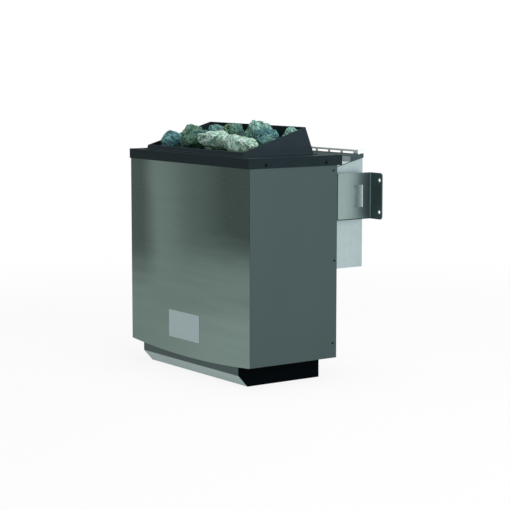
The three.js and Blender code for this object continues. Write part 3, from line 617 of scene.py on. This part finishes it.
def baked(held):
    """Plain mesh of what the object's modifiers make. The object itself goes."""
    bpy.context.view_layer.update()
    graph = bpy.context.evaluated_depsgraph_get()
    mesh = bpy.data.meshes.new_from_object(held.evaluated_get(graph))
    bpy.data.objects.remove(held)
    return mesh


def folded_sheet(node, material):
    """Sheet piece whose edges are eased as a press leaves them."""
    form = merged_copy(node)
    bmesh.ops.dissolve_limit(form, angle_limit=FLAT_WITHIN, verts=form.verts, edges=form.edges)
    rough = blank(node + "_rough", mesh_of(node + "_rough", form))
    ease = rough.modifiers.new("ease", "BEVEL")
    ease.width = SHEET_EDGE
    ease.segments = 2
    ease.limit_method = "ANGLE"
    ease.angle_limit = FOLD_FROM
    mesh = baked(rough)
    mesh.shade_flat()
    new_piece(node + "_sheet", mesh, material, body_of[node], slot_of[node], node)


def stone_rise(spot):
    """How far the stone's face stands out at a spot in millimetres: chips, scoops, ridges and pits."""
    chip = noise.turbulence(spot / CHIP.spacing, 2, False)
    nearest, second = noise.voronoi(spot / SCOOP.spacing)[0][:2]
    ridge = noise.ridged_multi_fractal(spot / RIDGE.spacing, 0.9, 2.1, 4, 1.0, 2.0)
    pit = noise.fractal(spot / PIT.spacing, 0.8, 2.0, 3)
    found = ((CHIP, chip), (SCOOP, second - nearest), (RIDGE, ridge), (PIT, pit))
    return sum(mark.height * (value - mark.level) for mark, value in found)


def rough_stone(node, material, rng):
    """The node's hull, worn at its corners and broken by marks."""
    hull = blank(node + "_hull", mesh_of(node + "_hull", merged_copy(node)))
    coarse = hull.modifiers.new("coarse", "SUBSURF")
    coarse.subdivision_type = "SIMPLE"
    coarse.levels = coarse.render_levels = 3
    wear = hull.modifiers.new("wear", "SMOOTH")
    wear.factor = 0.5
    wear.iterations = 1
    dense = hull.modifiers.new("dense", "SUBSURF")
    dense.levels = dense.render_levels = 1
    mesh = baked(hull)
    low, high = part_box(node)
    middle = (low + high) / 2
    shift = Vector([rng.uniform(-STONE_SHIFT, STONE_SHIFT) for _ in range(3)])
    for vertex in mesh.vertices:
        out = vertex.co - middle
        rise = stone_rise(vertex.co * 1000 + shift)
        vertex.co = middle + out * STONE_GROWTH + out.normalized() * rise
    mesh.update()
    mesh.shade_smooth()
    mesh.set_sharp_from_angle(angle=STONE_EDGE_FROM)
    new_piece(node + "_rock", mesh, material, body_of[node], slot_of[node], node)


def rounded_plate(name, low, high):
    """Flat plate across Y with rounded corners."""
    form = bmesh.new()
    left, right = low.x + PLATE_CORNER, high.x - PLATE_CORNER
    foot, top = low.z + PLATE_CORNER, high.z - PLATE_CORNER
    corners = ((right, top, 0), (left, top, 90), (left, foot, 180), (right, foot, 270))
    ring = []
    for centre_x, centre_z, start in corners:
        for step in range(PLATE_CORNER_STEPS + 1):
            angle = math.radians(start + 90 * step / PLATE_CORNER_STEPS)
            x = centre_x + PLATE_CORNER * math.cos(angle)
            z = centre_z + PLATE_CORNER * math.sin(angle)
            ring.append((x, z))
    back = [form.verts.new((x, high.y, z)) for x, z in ring]
    rim = [form.verts.new((x, low.y, z)) for x, z in ring]
    form.faces.new(back)
    form.faces.new(list(reversed(rim)))
    for i in range(len(ring)):
        following = (i + 1) % len(ring)
        form.faces.new((back[i], rim[i], rim[following], back[following]))
    bmesh.ops.recalc_face_normals(form, faces=form.faces)
    return mesh_of(name, form)


def screw_tree():
    """Round screw heads with a recess, one on each point, all facing one way."""
    tree = bpy.data.node_groups.new("screw_heads", "GeometryNodeTree")
    tree.is_modifier = True
    for name, way, kind in (
        ("Points", "INPUT", "NodeSocketGeometry"),
        ("Facing", "INPUT", "NodeSocketVector"),
        ("Head Radius", "INPUT", "NodeSocketFloat"),
        ("Head Height", "INPUT", "NodeSocketFloat"),
        ("Recess Depth", "INPUT", "NodeSocketFloat"),
        ("Finish", "INPUT", "NodeSocketMaterial"),
        ("Heads", "OUTPUT", "NodeSocketGeometry"),
    ):
        tree.interface.new_socket(name, in_out=way, socket_type=kind)
    sheet = NodeSheet(tree)
    points = sheet.node("NodeGroupInput", output="Points")
    height = points.beside("Head Height")
    depth = points.beside("Recess Depth")

    def pushed(mesh, face, by):
        inputs = {"Mesh": mesh, "Selection": face, "Offset Scale": by}
        return sheet.node("GeometryNodeExtrudeMesh", inputs)

    def drawn_in(mesh, face, share):
        """The face repeated, narrowed to a share of itself, and its selection."""
        doubled = pushed(mesh, face, 0.0)
        inner = doubled.beside("Top")
        inputs = {"Geometry": doubled, "Selection": inner, "Scale": share}
        return sheet.node("GeometryNodeScaleElements", inputs), inner

    inputs = {"Vertices": SCREW_SIDES, "Radius": points.beside("Head Radius"), "Depth": height}
    head = sheet.node("GeometryNodeMeshCylinder", inputs, fill_type="NGON")
    crown, crown_top = drawn_in(head, head.beside("Top"), CROWN_SHARE)
    lift = sheet.node("ShaderNodeCombineXYZ", {"Z": height * CROWN_RISE})
    inputs = {"Geometry": crown, "Selection": crown_top, "Offset": lift}
    domed = sheet.node("GeometryNodeSetPosition", inputs)
    ring, ring_top = drawn_in(domed, crown_top, RECESS_SHARE)
    sunk = pushed(ring, ring_top, depth * -1.0)
    turn = sheet.node("FunctionNodeAlignRotationToVector", {"Vector": points.beside("Facing")}, axis="Z")
    inputs = {"Points": points, "Instance": sunk, "Rotation": turn}
    placed = sheet.node("GeometryNodeInstanceOnPoints", inputs)
    real = sheet.node("GeometryNodeRealizeInstances", {"Geometry": placed})
    inputs = {"Geometry": real, "Material": points.beside("Finish")}
    sheet.node("NodeGroupOutput", {"Heads": sheet.node("GeometryNodeSetMaterial", inputs)})
    return tree


SCREW_TREE = screw_tree()


def screws(name, seats, facing, size, near):
    """Black screw heads standing on the seats, fixed to the node they are near."""
    radius, height = size
    centres = [Vector(seat) + Vector(facing) * (height / 2) for seat in seats]
    points = bpy.data.meshes.new(name + "_seats")
    points.from_pydata(centres, [], [])
    holder = blank(name + "_seats", points)
    heads = holder.modifiers.new("heads", "NODES")
    heads.node_group = SCREW_TREE
    values = {
        "Facing": facing,
        "Head Radius": radius,
        "Head Height": height,
        "Recess Depth": height * RECESS_DEPTH,
        "Finish": BLACK_SCREW,
    }
    for item in SCREW_TREE.interface.items_tree:
        if item.in_out == "INPUT" and item.name in values:
            heads[item.identifier] = values[item.name]
    new_piece(name, baked(holder), BLACK_SCREW, body_of[near], slot_of[near])


# The part: sheet pieces, stones, and the nodes that keep their own shape
for node in SHEET_PIECES:
    folded_sheet(node, OWN_FINISHES.get(node) or FINISHES[slot_of[node]])

stone_random = random.Random(STONE_SEED)
stones = sorted(node for node in nodes if slot_of[node] == "rock")
for node in stones:
    tone = STONE_TONES.get(node) or stone_random.choice(sorted(ROCKS))
    rough_stone(node, ROCKS[tone], stone_random)

for node, shape in nodes.items():
    if node not in SHEET_PIECES and node not in stones:
        shape.data.materials.clear()
        shape.data.materials.append(FINISHES[slot_of[node]])

# Bare plate on the front
plate_low = Vector((PLATE_LEFT, front_low.y - PLATE_SHEET, PLATE_FOOT))
plate_high = Vector((PLATE_RIGHT, front_low.y, PLATE_TOP))
plate = rounded_plate("front_plate", plate_low, plate_high)
new_piece("front_plate", plate, BARE_PLATE, body_of["front_panel"], slot_of["front_panel"])

# Screws: two in each side of the collar, three at the rear of each side panel
for name, side in (("right", 1), ("left", -1)):
    facing = (side, 0, 0)
    collar_seats = [(side * collar_high.x, y, z) for y, z in COLLAR_SCREW_SEATS]
    side_seats = [(side * side_high.x, y, z) for y, z in SIDE_SCREW_SEATS]
    screws(f"collar_screws_{name}", collar_seats, facing, COLLAR_SCREW_SIZE, "top_collar")
    screws(f"side_screws_{name}", side_seats, facing, SIDE_SCREW_SIZE, f"side_panel_{name}")


def studio_floor():
    """Floor that keeps the shadow and fades to white away from the part."""
    form = bmesh.new()
    bmesh.ops.create_grid(form, x_segments=1, y_segments=1, size=FLOOR_HALF)
    floor = bpy.data.objects.new("floor", mesh_of("floor", form))
    floor.location.z = -FLOOR_DROP
    scene.collection.objects.link(floor)
    look = Finish("floor")
    plain = look.node("ShaderNodeBsdfDiffuse", {"Color": rgba(FLOOR_TONE)})
    white = look.node("ShaderNodeEmission", {"Color": rgba(WHITE), "Strength": 1.0})
    reach = look.node("ShaderNodeVectorMath", {0: look.place}, "Value", operation="LENGTH")
    far = look.within(reach, FLOOR_WHITE_FROM, FLOOR_WHITE_BY)
    lit = look.seen_rays() * (FLOOR_WHITE_NEAR + (1 - FLOOR_WHITE_NEAR) * far)
    blend = look.node("ShaderNodeMixShader", {0: lit, 1: plain, 2: white})
    look.node("ShaderNodeOutputMaterial", {"Surface": blend})
    floor.data.materials.append(look.material)


def white_surround():
    """World that looks white and lights the part more softly than it looks."""
    scene.world = bpy.data.worlds.new("surround")
    scene.world.use_nodes = True
    scene.world.node_tree.nodes.clear()
    sheet = NodeSheet(scene.world.node_tree)
    level = SURROUND_LIGHT + sheet.seen_rays() * (1 - SURROUND_LIGHT)
    light = sheet.node("ShaderNodeBackground", {"Color": rgba(WHITE), "Strength": level})
    sheet.node("ShaderNodeOutputWorld", {"Surface": light})


def aimed(name, data, place, target):
    """A lamp or camera at a place, looking at a target."""
    held = bpy.data.objects.new(name, data)
    held.location = place
    held.rotation_euler = (Vector(target) - Vector(place)).to_track_quat("-Z", "Y").to_euler()
    scene.collection.objects.link(held)
    return held


def lamp(name, place, target, size, power):
    """Square soft lamp."""
    light = bpy.data.lights.new(name, "AREA")
    light.shape = "SQUARE"
    light.size = size
    light.energy = power
    aimed(name, light, place, target)


studio_floor()
white_surround()
lamp("key_lamp", place=(2.6, 0.1, 1.2), target=(0, 0, 0.25), size=1.6, power=36)
lamp("top_lamp", place=(0.1, 0.1, 2.2), target=(0, 0, 0.4), size=1.2, power=18)

camera = aimed("camera", bpy.data.cameras.new("camera"), CAMERA_PLACE, CAMERA_TARGET)
camera.data.lens = CAMERA_LENS
camera.data.sensor_width = CAMERA_SENSOR
camera.data.clip_end = CAMERA_REACH
scene.camera = camera
